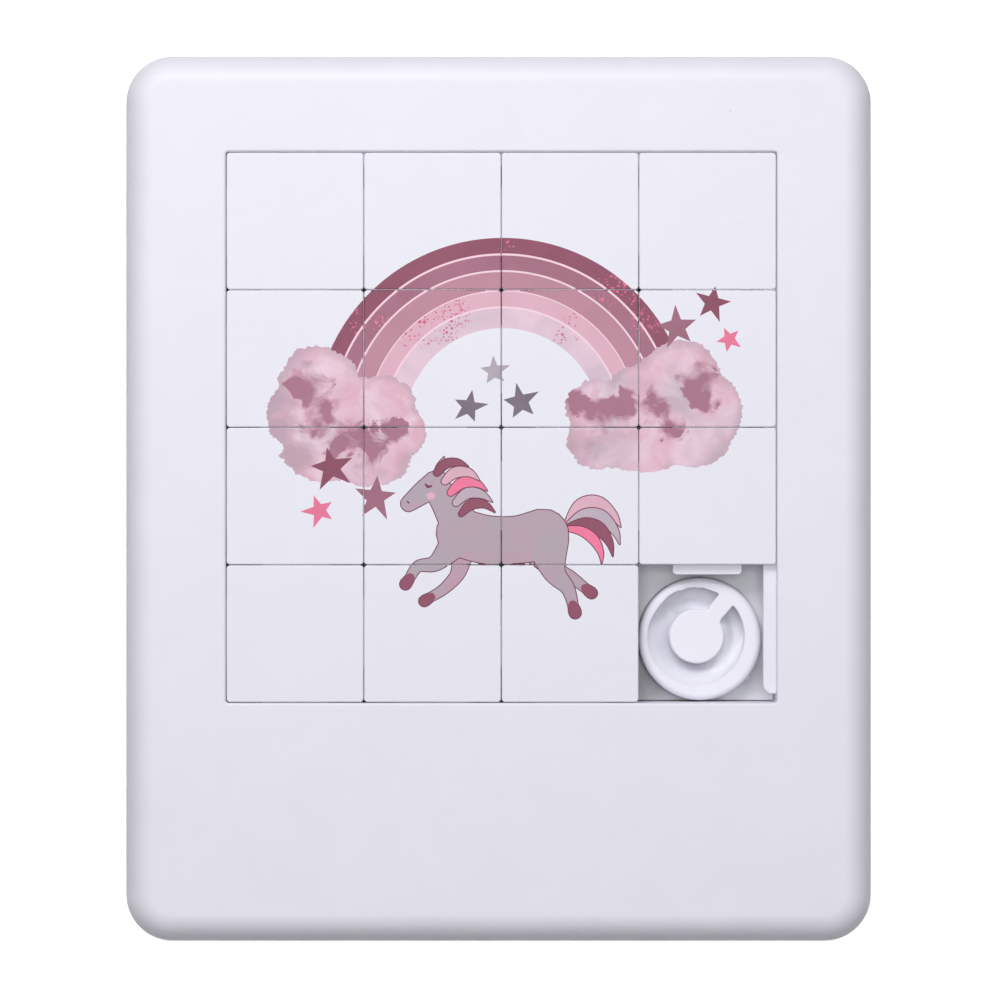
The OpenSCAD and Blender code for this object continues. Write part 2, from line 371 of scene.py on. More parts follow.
def moulded(name, colour, rough, specks, shift, recess_shade=None, glow=0.0, floor_shadows=()):
    """White injection-moulded plastic: faint flow mottle, a fine satin grain and a few dark specks.

    recess_shade = (low z, high z, k) is painted shade: it darkens the plastic towards the bottom of a recess,
    to k times its colour.
    glow is painted light: an emission that lightens a narrow gap, standing in for the light that the milky
    plastic passes on into it.
    floor_shadows = ((x, y, size, k), ...) is painted shadow: it darkens the tray floor round each place, to k
    times its colour.
    """
    t = Tree(name)
    mottle = t.ramp(t.noise(7.0, 4, 0.55, 0.6, shift), 0.3, 0.7)
    fine = t.ramp(t.noise(1.1, 4, 0.6, 0.0, shift + 0.01), 0.3, 0.7)
    base = t.mix(mottle, shade(colour, 0.972), shade(colour, 1.012))
    cool = (colour[0] * 0.985, colour[1] * 0.99, colour[2], 1.0)
    base = t.mix(t.math("MULTIPLY", fine, 0.3), base, cool)
    dots, tint = t.spots(1.9, 0.035, 0.02, shift + 0.02)
    dots = t.math("MULTIPLY", dots, t.ramp(tint, 0.84, 0.86))
    base = t.mix(t.math("MULTIPLY", dots, 0.32 * specks), base, srgb(120, 112, 122))
    # painted shade: darker towards the bottom of a recess
    if recess_shade:
        low, high, k = recess_shade
        base = t.mix(t.ramp(t.height(), low * MM, high * MM, 1.0, 0.0), base, shade(colour, k))
    # painted shadow on the tray floor round each place
    for x, y, size, k in floor_shadows:
        near = t.ramp(t.distance(x, y, FLOOR_Z), 0.0, size * MM, 1.0, 0.0)
        base = t.mix(t.ramp(near, 0.0, 0.75), base, shade(colour, k))
    t.link(base, t.bsdf.inputs["Base Color"])
    grain = t.noise(0.09, 3, 0.6)
    wave = t.noise(16.0, 2, 0.5, 0.0, shift)
    r = t.math("ADD", t.ramp(mottle, 0, 1, rough - 0.03, rough + 0.03), t.ramp(grain, 0.3, 0.7, -0.03, 0.03))
    t.link(r, t.bsdf.inputs["Roughness"])
    t.link(t.bump(grain, 0.004, 0.5, t.bump(wave, 0.05, 0.6)), t.bsdf.inputs["Normal"])
    t.bsdf.inputs["IOR"].default_value = 1.5
    t.bsdf.inputs["Subsurface Weight"].default_value = 0.1
    t.bsdf.inputs["Subsurface Radius"].default_value = (1.0, 0.95, 1.05)
    t.bsdf.inputs["Subsurface Scale"].default_value = 0.0006
    # painted light: the plastic glows into a narrow gap
    if glow:
        t.bsdf.inputs["Emission Color"].default_value = (0.98, 0.97, 1.0, 1.0)
        t.bsdf.inputs["Emission Strength"].default_value = glow
    return t.mat


# the middle of the picture's arch
ART_X, ART_Y = FIELD_X + 0.15, FIELD_Y + 0.1

# patches of glitter on the arch: degrees, distance from its centre and size
GLITTER = (
    (145, 19.5, 1.2), (140, 17.6, 0.8), (136, 14.2, 1.2), (128, 14.2, 1.5), (119, 13.9, 1.5),
    (111, 13.7, 1.0), (128, 12.2, 1.1), (119, 12.0, 1.1), (110, 12.2, 0.8), (51, 18.9, 1.2),
    (45, 19.4, 1.2), (52, 16.9, 0.9), (37, 19.2, 1.3), (57, 13.4, 0.9), (56, 11.7, 0.9),
    (20, 17.6, 0.9), (88, 19.4, 0.6),
)

# the glitter's dots, small and large: size of a dot's cell, radius, share kept out, weight
DOTS = ((0.34, 0.3, 0.35, 0.75), (0.62, 0.26, 0.62, 0.9))


def glitter_spots(t, base, colour, shift):
    """Mixes glitter of a colour over the base, in the patches."""
    places = [(*at(ART_X, ART_Y, r, a), size) for a, r, size in GLITTER]
    rag = t.ramp(t.noise(1.2, 2, 0.5), 0.3, 0.7, -0.3, 0.3)
    patch = t.ramp(t.math("ADD", t.nearest(places), rag), 0.3, 0.55)
    for size, radius, share, weight in DOTS:
        dots, tint = t.spots(size, radius, 0.1, shift)
        dots = t.math("MULTIPLY", dots, t.ramp(tint, share, share + 0.1))
        base = t.mix(t.math("MULTIPLY", dots, t.math("MULTIPLY", patch, weight)), base, colour)
    return base


def ink(name, colour, other, size, glitter=None, shift=0.0, amount=1.0):
    """A printed ink: a watercolour wash between two colours, a fine print grain, and glitter in patches."""
    t = Tree(name)
    wash = t.ramp(t.noise(size, 3, 0.5, 0.4, shift), 0.35, 0.65)
    base = t.mix(t.math("MULTIPLY", wash, amount), colour, other)
    fine = t.ramp(t.noise(0.35, 3, 0.6, 0.0, shift + 0.03), 0.3, 0.7)
    base = t.mix(t.math("MULTIPLY", fine, 0.16), base, shade(colour, 0.86))
    if glitter:
        base = glitter_spots(t, base, glitter, shift)
    t.link(base, t.bsdf.inputs["Base Color"])
    t.satin(0.32, 0.4, 0.45)
    t.bsdf.inputs["IOR"].default_value = 1.48
    t.bsdf.inputs["Specular IOR Level"].default_value = 0.3
    return t.mat


# the puffs of the left and the right cloud: x and y from the arch's middle, and the two radii
CLOUDS = (
    ((-19.6, 4.4, 4.3, 4.2), (-21.8, 1.2, 3.4, 3.6), (-15.6, 1.0, 5.6, 4.4), (-19.0, -2.6, 4.6, 3.3),
     (-12.6, 2.4, 3.2, 3.0), (-14.2, -3.4, 4.4, 3.0), (-10.8, -0.6, 2.6, 2.9)),
    ((10.3, 2.0, 3.6, 3.1), (14.6, 3.4, 3.4, 3.2), (18.9, 4.6, 4.6, 4.6), (22.3, 1.6, 3.3, 3.9),
     (15.6, -0.4, 5.4, 3.8), (10.6, -1.4, 3.8, 3.2), (20.0, -1.2, 4.5, 3.2), (15.0, -2.6, 4.6, 2.3)),
)

# dark blotches and shaded sides of the clouds: x and y in the object's own frame, and size
BLOTCHES = (
    (-20.2, 12.2, 1.9), (-19.2, 10.0, 1.8), (-18.9, 7.8, 1.7), (-16.2, 6.3, 2.1), (-13.6, 5.4, 2.2),
    (-11.4, 6.8, 1.5), (8.2, 10.4, 1.9), (10.6, 9.2, 1.8), (13.2, 9.9, 1.6), (17.2, 9.6, 1.9),
    (18.2, 7.6, 1.5), (21.4, 12.4, 1.9), (22.0, 10.6, 1.4),
)
SHADOW = ((-24.2, 10.4, 2.2), (-23.4, 7.6, 1.8), (-21.6, 4.6, 1.5), (9.4, 5.4, 1.4))


def cloud_ink(name, shift):
    """The clouds' watercolour: pink, pale and grey washes, with dark blotches that run softly to one side."""
    t = Tree(name)
    wash = t.ramp(t.noise(4.2, 3, 0.5, 0.6, shift), 0.4, 0.62)
    grey = t.ramp(t.noise(5.6, 2, 0.5, 0.4, shift + 0.05), 0.48, 0.66)
    bloom = t.ramp(t.noise(3.4, 2, 0.5, 0.4, shift + 0.12), 0.54, 0.74)
    base = t.mix(wash, INK["pink"], INK["pale"])
    base = t.mix(t.math("MULTIPLY", grey, 0.8), base, INK["mist"])
    base = t.mix(t.math("MULTIPLY", bloom, 0.55), base, INK["bloom"])
    # the paint dries darker along the cloud's edge and on its shaded side
    edge = t.nearest([(ART_X + x, ART_Y + y, (rx + ry) / 4) for x, y, rx, ry in CLOUDS[0] + CLOUDS[1]])
    rag = t.ramp(t.noise(0.9, 3, 0.6, 0.0, shift + 0.3), 0.3, 0.7, -0.05, 0.05)
    base = t.mix(t.ramp(t.math("ADD", edge, rag), 0.02, 0.26, 0.62, 0.0), base, INK["fringe"])
    rag = t.ramp(t.noise(2.6, 4, 0.6, 0.3, shift + 0.4), 0.3, 0.7, -0.3, 0.3)
    base = t.mix(t.ramp(t.math("ADD", t.nearest(SHADOW), rag), 0.2, 0.8, 0.0, 0.85), base, INK["fringe"])
    rag = t.ramp(t.noise(2.2, 6, 0.6, 0.5, shift + 0.09), 0.25, 0.75, -0.42, 0.42)
    blot = t.math("SUBTRACT", t.math("ADD", t.nearest(BLOTCHES), rag), 0.42)
    # the blotch's edge is sharp in some places and runs out widely in others
    width = t.ramp(t.noise(3.0, 1, 0.5, 0.0, shift + 0.2), 0.4, 0.6, 0.08, 0.55)
    blot = t.ramp(t.math("DIVIDE", blot, width), 0.0, 1.0)
    base = t.mix(t.math("MULTIPLY", blot, 0.92), base, INK["mauve"])
    fine = t.ramp(t.noise(0.4, 4, 0.6), 0.3, 0.7)
    base = t.mix(t.math("MULTIPLY", fine, 0.1), base, INK["rose"])
    t.link(base, t.bsdf.inputs["Base Color"])
    t.satin(0.33, 0.42, 0.45)
    t.bsdf.inputs["IOR"].default_value = 1.48
    t.bsdf.inputs["Specular IOR Level"].default_value = 0.3
    return t.mat


def pigment(r, g, b):
    """The colour that an ink needs to look like this display colour, with the light its film adds."""
    film, share = 0.055, 0.865
    return (*(max(0.004, (c - film) / share) for c in srgb(r, g, b)[:3]), 1.0)


INK = {
    "plum": pigment(144, 91, 108),
    "mauve": pigment(162, 114, 131),
    "rose": pigment(188, 140, 156),
    "pink": pigment(219, 176, 191),
    "pale": pigment(226, 198, 212),
    "mist": pigment(192, 176, 189),
    "bloom": pigment(234, 214, 226),
    "fringe": pigment(184, 159, 172),
    "line": pigment(240, 208, 220),
    "berry": pigment(200, 96, 134),
    "hot": pigment(232, 126, 158),
    "grey": pigment(178, 168, 177),
    "coat": pigment(177, 165, 174),
    "slate": pigment(124, 114, 124),
    "dark": pigment(118, 76, 92),
}

TILE_TOP = moulded("tile_plastic", srgb(233, 232, 242), 0.4, 0.8, 0.11)
# the tiles' sides: a lighter white than the top with a painted glow, which lightens the narrow gaps between
# tiles
LIT_TILE_SIDE = moulded("tile_side_glowing_plastic", srgb(251, 250, 254), 0.4, 0.3, 0.11, glow=0.14)

# what a tile's faces can be: bare plastic, an ink, or the sides' plastic, painted lighter and glowing
INKS = {
    "bare": TILE_TOP,
    "band_plum": ink("ink_band_plum", INK["plum"], shade(INK["plum"], 1.1), 3.0, INK["hot"], 0.4),
    "band_mauve": ink("ink_band_mauve", INK["mauve"], shade(INK["mauve"], 1.1), 3.5, INK["hot"], 0.5),
    "band_rose": ink("ink_band_rose", INK["rose"], shade(INK["rose"], 0.93), 3.5, shift=0.6),
    "band_pink": ink("ink_band_pink", INK["pink"], shade(INK["pink"], 0.95), 3.5, INK["berry"], 0.74),
    "band_pale": ink("ink_band_pale", INK["pale"], INK["mist"], 5.0, INK["berry"], 0.85, 0.6),
    "line": ink("ink_line", INK["line"], shade(INK["line"], 0.95), 2.0),
    "cloud": cloud_ink("ink_cloud", 0.31),
    "star_plum": ink("ink_star_plum", INK["plum"], shade(INK["plum"], 0.9), 2.0, shift=0.2),
    "star_mauve": ink("ink_star_mauve", INK["mauve"], shade(INK["mauve"], 0.9), 2.0, shift=0.3),
    "star_hot": ink("ink_star_hot", INK["hot"], shade(INK["hot"], 0.93), 2.0, shift=0.1),
    "star_grey": ink("ink_star_grey", INK["grey"], shade(INK["grey"], 0.92), 2.0, shift=0.15),
    "star_slate": ink("ink_star_slate", INK["slate"], shade(INK["slate"], 1.15), 2.0, shift=0.25),
    "outline": ink("ink_outline", INK["dark"], shade(INK["dark"], 1.2), 2.0),
    "coat": ink("ink_coat", INK["coat"], pigment(184, 160, 174), 4.5, shift=0.9),
    "belly": ink("ink_belly", pigment(190, 156, 172), INK["coat"], 4.0, shift=0.35),
    "hair_plum": ink("ink_hair_plum", INK["plum"], shade(INK["plum"], 1.12), 2.0),
    "hair_pink": ink("ink_hair_pink", INK["pink"], shade(INK["pink"], 0.93), 2.0),
    "hair_hot": ink("ink_hair_hot", INK["hot"], shade(INK["hot"], 1.08), 2.0),
    "hair_mist": ink("ink_hair_mist", INK["mist"], shade(INK["mist"], 0.93), 2.0),
    "side": LIT_TILE_SIDE,
}
INK_NAMES = list(INKS)

# ---------------------------------------------------------------- the printed picture

# the picture's outlines as (ink number, points in mm), painted in order
SHAPES = []


def paint(ink_name, pts):
    """Adds a filled outline, turned anticlockwise and started a quarter of the way along."""
    pts = [tuple(p) for p in pts]
    area = sum(a[0] * b[1] - b[0] * a[1] for a, b in zip(pts, pts[1:] + pts[:1]))
    if area < 0:
        pts.reverse()
    k = len(pts) // 4
    SHAPES.append((INK_NAMES.index(ink_name), pts[k:] + pts[:k]))


def curve(a, b, c, d, t):
    """The value at t on a Catmull-Rom curve from b to c."""
    bend, twist = 2 * a - 5 * b + 4 * c - d, 3 * b - a - 3 * c + d
    return 0.5 * (2 * b + (c - a) * t + bend * t * t + twist * t ** 3)


def spline(points, steps):
    """A smooth curve through points, each with any number of values."""
    n = len(points)
    out = []
    for i in range(n - 1):
        near = [points[max(0, min(n - 1, i + k))] for k in (-1, 0, 1, 2)]
        for s in range(steps):
            out.append(tuple(curve(*values, s / steps) for values in zip(*near)))
    out.append(tuple(points[-1]))
    return out


def limb(points, grow=0.0, steps=8):
    """The outline of a stroke with round ends through (x, y, half width) points, made wider by grow."""
    line = spline(points, steps)
    left, right = [], []
    for i, (x, y, w) in enumerate(line):
        x0, y0, _ = line[max(0, i - 1)]
        x1, y1, _ = line[min(len(line) - 1, i + 1)]
        d = math.hypot(x1 - x0, y1 - y0) or 1.0
        nx, ny = -(y1 - y0) / d, (x1 - x0) / d
        w = max(0.02, w) + grow
        left.append((x + nx * w, y + ny * w))
        right.append((x - nx * w, y - ny * w))

    def end(k, j):
        """The round end at point k, away from point j."""
        x, y, w = line[k]
        w = max(0.02, w) + grow
        a = math.atan2(y - line[j][1], x - line[j][0])
        turns = [a + math.radians(q) for q in range(60, -61, -20)]
        return [(x + w * math.cos(q), y + w * math.sin(q)) for q in turns]

    return left + end(-1, -2) + right[::-1] + end(0, 1)


def star(cx, cy, r, turn):
    """A five-pointed star, a little uneven as if drawn by hand."""
    rnd = random.Random(round(100 * cx))
    waist = 0.41
    pts = []
    for i in range(10):
        a = math.radians(90 + turn + 36 * i + rnd.uniform(-5, 5))
        q = r * (rnd.uniform(0.88, 1.14) if i % 2 == 0 else waist)
        pts.append((cx + q * math.cos(a), cy + q * math.sin(a)))
    return pts


def arch(r0, r1):
    """A band of the rainbow between two radii. Its ends lie hidden under the clouds."""
    first, last, n = -8, 188, 110
    turns = [first + (last - first) * i / n for i in range(n + 1)]
    return [at(ART_X, ART_Y, r1, a) for a in turns] + [at(ART_X, ART_Y, r0, a) for a in turns[::-1]]


def puff(cx, cy, rx, ry, seed):
    """A ragged, roughly round blob, as wet paint dries."""
    rnd = random.Random(seed)
    n = int(32 * max(rx, ry))
    out = []
    for i in range(n):
        a = 2 * math.pi * i / n
        rag = rnd.uniform(-0.035, 0.035) * min(1.0, 3.5 / rx)
        k = 1 + 0.07 * noise.noise(Vector((3 * math.cos(a), 3 * math.sin(a), seed)))
        k += 0.05 * noise.noise(Vector((9 * math.cos(a), 9 * math.sin(a), seed))) + rag
        out.append((cx + rx * k * math.cos(a), cy + ry * k * math.sin(a)))
    return out


# the rainbow's bands and the pale lines between them: inner and outer radius
for name, r0, r1 in (
    ("band_plum", 18.4, 20.15), ("band_mauve", 16.65, 18.4), ("band_rose", 14.5, 16.65),
    ("band_pink", 12.75, 14.5), ("band_pale", 10.5, 12.75),
    ("line", 18.27, 18.49), ("line", 16.5, 16.7), ("line", 14.43, 14.55), ("line", 12.62, 12.83),
):
    paint(name, arch(r0, r1))

for k, blobs in enumerate(CLOUDS):
    for i, (x, y, rx, ry) in enumerate(blobs):
        paint("cloud", puff(ART_X + x, ART_Y + y, rx, ry, 10 * k + i + 1))

# stars: place from the arch's middle, radius and turn
for name, x, y, r, turn in (
    ("star_plum", 22.4, 13.2, 2.0, -12), ("star_mauve", 18.6, 10.6, 2.3, 8),
    ("star_hot", 24.2, 9.3, 1.5, 24), ("star_grey", -0.9, 5.9, 1.7, 6),
    ("star_slate", -3.6, 2.1, 1.9, -10), ("star_slate", 1.9, 2.6, 2.1, 14),
    ("star_plum", -18.3, -4.4, 2.4, 10), ("star_mauve", -13.6, -7.6, 2.4, -4),
    ("star_hot", -19.6, -9.0, 1.8, 20),
):
    paint(name, star(ART_X + x, ART_Y + y, r, turn))

# where the pony's middle lies, and its scale
PONY_X, PONY_Y, PONY = ART_X - 0.2, ART_Y - 12.2, 0.92


def pony(points):
    """Moves the pony's own (x, y, half width) points to the tile field."""
    return [(PONY_X + PONY * x, PONY_Y + PONY * y, PONY * w) for x, y, w in points]


# every stroke of the pony is a row of (x, y, half width) points
TAIL = (
    ("hair_pink",
     [(7.6, 2.0, 0.25), (9.2, 4.0, 0.75), (11.2, 4.3, 0.85), (13.0, 3.0, 0.5), (13.9, 1.6, 0.02)]),
    ("hair_mist",
     [(7.7, 1.8, 0.25), (9.6, 3.0, 0.6), (11.6, 2.8, 0.75), (13.2, 1.2, 0.45), (13.8, -0.4, 0.02)]),
    ("hair_plum",
     [(7.7, 1.6, 0.25), (9.7, 2.0, 0.6), (11.4, 1.4, 0.7), (12.6, -0.2, 0.4), (13.0, -1.8, 0.02)]),
    ("hair_hot",
     [(7.7, 1.4, 0.25), (9.4, 1.1, 0.5), (10.8, 0.1, 0.55), (11.6, -1.4, 0.3), (11.7, -2.6, 0.02)]),
)
MANE = (
    ("hair_plum", [(-4.6, 3.1, 0.3), (-3.4, 4.2, 0.55), (-1.9, 4.2, 0.4), (-0.7, 3.3, 0.02)]),
    ("hair_mist", [(-5.2, 4.4, 0.4), (-3.9, 5.5, 0.6), (-2.3, 5.4, 0.45), (-1.0, 4.5, 0.02)]),
    ("hair_hot", [(-5.8, 5.6, 0.4), (-4.5, 6.7, 0.6), (-2.9, 6.7, 0.45), (-1.6, 5.8, 0.02)]),
    ("hair_pink", [(-6.5, 6.9, 0.4), (-5.3, 7.9, 0.6), (-3.7, 7.9, 0.45), (-2.5, 7.0, 0.02)]),
    ("hair_plum", [(-7.4, 7.9, 0.4), (-6.4, 8.9, 0.5), (-5.0, 9.1, 0.35), (-3.8, 8.6, 0.02)]),
)
FAR_LEGS = (
    [(-4.4, -1.2, 1.25), (-5.0, -3.8, 0.8), (-6.6, -5.6, 0.58), (-8.2, -6.6, 0.5)],
    [(4.6, -1.2, 1.9), (6.4, -3.4, 1.05), (8.2, -4.3, 0.66), (9.9, -5.6, 0.52)],
)
NEAR_LEGS = (
    [(-5.6, -0.6, 1.6), (-7.6, -2.6, 0.9), (-9.6, -3.0, 0.62), (-10.6, -4.4, 0.52)],
    [(5.4, -0.4, 2.5), (6.2, -3.6, 1.3), (7.8, -5.6, 0.75), (8.4, -7.6, 0.55)],
)
TRUNK = (
    [(-4.7, 0.9, 2.75), (-1.6, 0.1, 2.75), (1.8, 0.1, 2.7), (4.9, 0.7, 2.95)],
    [(-4.6, 1.6, 2.3), (-6.2, 4.2, 1.75), (-7.6, 6.4, 1.45)],
    [(-7.5, 6.6, 1.5), (-9.0, 5.6, 1.25), (-10.7, 4.3, 0.9)],
    [(-7.3, 7.6, 0.55), (-7.0, 8.7, 0.4), (-6.6, 9.7, 0.02)],
)


def hoof(leg):
    """A short, wider dark cap on a leg's end."""
    (x0, y0, _), (x1, y1, w) = leg[-2], leg[-1]
    d = math.hypot(x1 - x0, y1 - y0)
    ux, uy = (x1 - x0) / d, (y1 - y0) / d
    return [(x1 + q * ux, y1 + q * uy, w * k) for q, k in ((-0.1, 1.02), (0.45, 1.2), (0.8, 1.25))]


# how far an outline shows round what it surrounds
EDGE = 0.11
for name, pts in TAIL:
    paint("outline", limb(pony(pts), EDGE))
    paint(name, limb(pony(pts)))
for leg in FAR_LEGS:
    paint("outline", limb(pony(leg), EDGE))
    paint("outline", limb(pony(hoof(leg)), EDGE, 3))
for leg in FAR_LEGS:
    paint("belly", limb(pony(leg)))
    paint("hair_plum", limb(pony(hoof(leg)), 0, 3))
for part in NEAR_LEGS + TRUNK:
    paint("outline", limb(pony(part), EDGE))
for leg in NEAR_LEGS:
    paint("outline", limb(pony(hoof(leg)), EDGE, 3))
paint("belly", limb(pony(TRUNK[0])))
for part in TRUNK[1:] + NEAR_LEGS:
    paint("coat", limb(pony(part)))
paint("coat", limb(pony([(-4.7, 1.3, 2.3), (-1.6, 0.7, 2.15), (1.8, 0.7, 2.1), (4.9, 1.1, 2.5)])))
for leg in NEAR_LEGS:
    paint("hair_plum", limb(pony(hoof(leg)), 0, 3))
for name, pts in MANE:
    paint("outline", limb(pony(pts), EDGE))
    paint(name, limb(pony(pts)))
# eye, nostril and cheek
paint("outline", limb(pony([(-8.75, 6.55, 0.1), (-8.45, 6.25, 0.16), (-8.05, 6.35, 0.1)]), 0, 5))
paint("outline", limb(pony([(-10.85, 4.55, 0.09), (-10.7, 4.4, 0.1)]), 0, 3))
paint("hair_pink", limb(pony([(-8.2, 5.2, 0.42), (-8.0, 5.2, 0.42)]), 0, 4))

# ---------------------------------------------------------------- tiles


def bevel_row(pts, cx, cy, out):
    """Moves the points of a tile's rim outwards by out, along its own normals."""
    flat = TILE / 2 - CORNER_R
    row = []
    for x, y in pts:
        nx = x - cx - max(-flat, min(flat, x - cx))
        ny = y - cy - max(-flat, min(flat, y - cy))
        d = math.hypot(nx, ny) or 1.0
        row.append((x + out * nx / d, y + out * ny / d))
    return row


def printed_top(bm, cx, cy):
    """The flat top, cut along the picture's outlines.

    Gives the rim anticlockwise, as mesh corners and as points, and the ink of each of its sides.
    """
    rim = round_rect(TILE - 2 * EDGE_R, TILE - 2 * EDGE_R, CORNER_R - EDGE_R, 5, cx, cy)
    near = TILE / 2 + 0.5
    verts = [Vector(p) for p in rim]
    faces = [list(range(len(rim)))]
    inks = [0]
    for number, pts in SHAPES:
        xs, ys = [p[0] for p in pts], [p[1] for p in pts]
        if max(xs) < cx - near or min(xs) > cx + near or max(ys) < cy - near or min(ys) > cy + near:
            continue
        start = len(verts)
        verts += [Vector(p) for p in pts]
        faces.append(list(range(start, len(verts))))
        inks.append(number)
    co, _, tris, _, _, origin = delaunay_2d_cdt(verts, [], faces, 1, 1e-5)
    made, edges = {}, {}
    for tri, src in zip(tris, origin):
        if 0 not in src:
            continue
        for i in tri:
            if i not in made:
                made[i] = bm.verts.new((co[i].x * MM, co[i].y * MM, TOP_Z * MM))
        f = bm.faces.new([made[i] for i in tri])
        f.material_index = inks[max(src)]
        f.smooth = False
        for a, b in zip(tri, tri[1:] + tri[:1]):
            edges[(a, b)] = f.material_index
    follow = {a: b for a, b in edges if (b, a) not in edges}
    ring, i = [], next(iter(follow))
    while i not in ring:
        ring.append(i)
        i = follow[i]
    sides = [edges[(i, follow[i])] for i in ring]
    return [made[i] for i in ring], [(co[i].x, co[i].y) for i in ring], sides


def make_tile(number):
    column, row = (number - 1) % 4, (number - 1) // 4
    cx, cy = cell(column, row)
    side = INK_NAMES.index("side")
    bm = bmesh.new()
    # upper lip: printed top, rounded edge, straight side, flat underside
    ring, pts, sides = printed_top(bm, cx, cy)
    for k in range(1, 6):
        a = math.radians(90 * k / 5)
        edge = bevel_row(pts, cx, cy, EDGE_R * math.sin(a))
        below = ring_of(bm, edge, TOP_Z - EDGE_R * (1 - math.cos(a)))
        bridge(bm, ring, below, slot=sides if k < 5 else side)
        ring = below
    low = ring_of(bm, edge, GROOVE_TOP)
    bridge(bm, ring, low, slot=side)
    cap(bm, low, flip=True)
    # core between the lips, a little way into both, set back on the right and upper side
    core, sunk = TILE - GROOVE - 0.02, 0.05
    pts = round_rect(core, core, 0.3, 5, cx - GROOVE / 2, cy - GROOVE / 2)
    loft(bm, [(pts, GROOVE_Z - sunk), (pts, GROOVE_TOP + sunk)])
    # lower lip
    rows = []
    for k in range(5):
        a = math.radians(90 * k / 4)
        d = UNDER_R * (1 - math.sin(a))
        pts = round_rect(TILE - 2 * d, TILE - 2 * d, CORNER_R - d, 5, cx, cy)
        rows.append((pts, UNDER_Z + UNDER_R * (1 - math.cos(a))))
    rows.append((round_rect(TILE, TILE, CORNER_R, 5, cx, cy), GROOVE_Z))
    loft(bm, rows)
    # tongues on the left and lower side, each with its root inside the tile
    root = 0.8
    out = TILE / 2 + TONGUE / 2 - root / 2
    for left in (True, False):
        rows = []
        for d, z in PLATE:
            w, h = TONGUE + root - 2 * d, TONGUE_W - 2 * d
            if left:
                pts = round_rect(w, h, PLATE_R - d, 5, cx - out, cy)
            else:
                pts = round_rect(h, w, PLATE_R - d, 5, cx, cy - out)
            rows.append((pts, TONGUE_Z + z))
        loft(bm, rows)
    node = f"tile_{number:02d}"
    finish_mesh(bm, f"{node}_printed", INKS.values(), f"{node}_body", node)


for number in range(1, 16):
    make_tile(number)

# ---------------------------------------------------------------- front shell


def field_row(bm, z, out=0.0, left=0.0, low=0.0):
    """The tile field's outline at a height, moved outwards, and further on the left and lower side."""
    pts = []
    for x, y in round_rect(FIELD + 2 * out, FIELD + 2 * out, 0.3 + out, 4):
        pts.append((FIELD_X + x - (left if x < 0 else 0), FIELD_Y + y - (low if y < 0 else 0)))
    return ring_of(bm, pts, z)


def rail_plan(d):
    """The L-shaped rail along the right and upper wall, with round free ends, made smaller by d."""
    inner, root = FIELD / 2 - RAIL + d, FIELD / 2 + 0.3
    start = -FIELD / 2 + RAIL_END + d
    r = 0.7 * RAIL - d
    turns = [math.radians(q) for q in range(0, 91, 10)]
    end = [(inner + r - r * math.cos(q), start + r - r * math.sin(q)) for q in turns]
    upper = [(y, x) for x, y in reversed(end)]
    pts = [(root, start), (root, root), (start, root)] + upper + [(inner, inner)] + end
    return [(FIELD_X + x, FIELD_Y + y) for x, y in pts]


def make_frame():
    bm = bmesh.new()
    w, h = FRAME_HI.x - FRAME_LO.x, FRAME_HI.y - FRAME_LO.y

    def plan(d):
        return round_rect(w - 2 * d, h - 2 * d, SHELL_R - d, 14)

    # from the recess for the cover, round the back edge, up the side and over the face edge
    chamfer = 0.12
    rows = [(plan(COVER_IN), COVER_T), (plan(COVER_IN), chamfer), (plan(COVER_IN - chamfer), 0.0)]
    for k in range(7):
        a = math.radians(90 * k / 6)
        rows.append((plan(BACK_R * (1 - math.sin(a))), BACK_R * (1 - math.cos(a))))
    for k in range(19):
        a = math.radians(90 * k / 18)
        rows.append((plan(FACE_R * (1 - math.cos(a))), FACE_Z - FACE_R + FACE_R * math.sin(a)))
    rings = [ring_of(bm, pts, z) for pts, z in rows]
    for i in range(len(rings) - 1):
        bridge(bm, rings[i], rings[i + 1], smooth=i not in (0, 1, 2))
    # the walls of the tile field, from the face down, with the slots on the left and lower side
    walls = []
    for k in range(6):
        a = math.radians(90 * k / 5)
        walls.append(field_row(bm, FACE_Z - RIM_R * (1 - math.cos(a)), RIM_R * (1 - math.sin(a))))
    walls.append(field_row(bm, GROOVE_TOP))
    walls.append(field_row(bm, GROOVE_TOP, 0, SLOT, SLOT))
    walls.append(field_row(bm, GROOVE_Z, 0, SLOT, SLOT))
    walls.append(field_row(bm, GROOVE_Z))
    walls.append(field_row(bm, COVER_T))
    for i in range(len(walls) - 1):
        bridge(bm, walls[i], walls[i + 1], smooth=i < 5)
    # the flat face, and the flat of the cover's recess, each with the field cut out
    fill_between(bm, rings[-1], walls[0])
    fill_between(bm, rings[0], walls[-1])
    loft(bm, [(rail_plan(d), TONGUE_Z + z) for d, z in PLATE], flat=range(5))
    plastic = moulded("shell_plastic", srgb(234, 233, 243), 0.44, 1.0, 0.0)
    finish_mesh(bm, "front_shell", [plastic], "tray", "front_frame")


make_frame()

# ---------------------------------------------------------------- ring


def even(pts, step):
    """A closed outline with its points a step apart."""
    out, rest = [], 0.0
    for (x0, y0), (x1, y1) in zip(pts, pts[1:] + pts[:1]):
        d = math.hypot(x1 - x0, y1 - y0)
        while rest < d:
            out.append((x0 + (x1 - x0) * rest / d, y0 + (y1 - y0) * rest / d))
            rest += step
        rest -= d
    return out


def relax(pts, times):
    """Rounds the corners of a closed outline."""
    for _ in range(times):
        before, after = pts[-1:] + pts[:-1], pts[1:] + pts[:1]
        pts = [
            (0.25 * a[0] + 0.5 * b[0] + 0.25 * c[0], 0.25 * a[1] + 0.5 * b[1] + 0.25 * c[1])
            for a, b, c in zip(before, pts, after)
        ]
    return pts


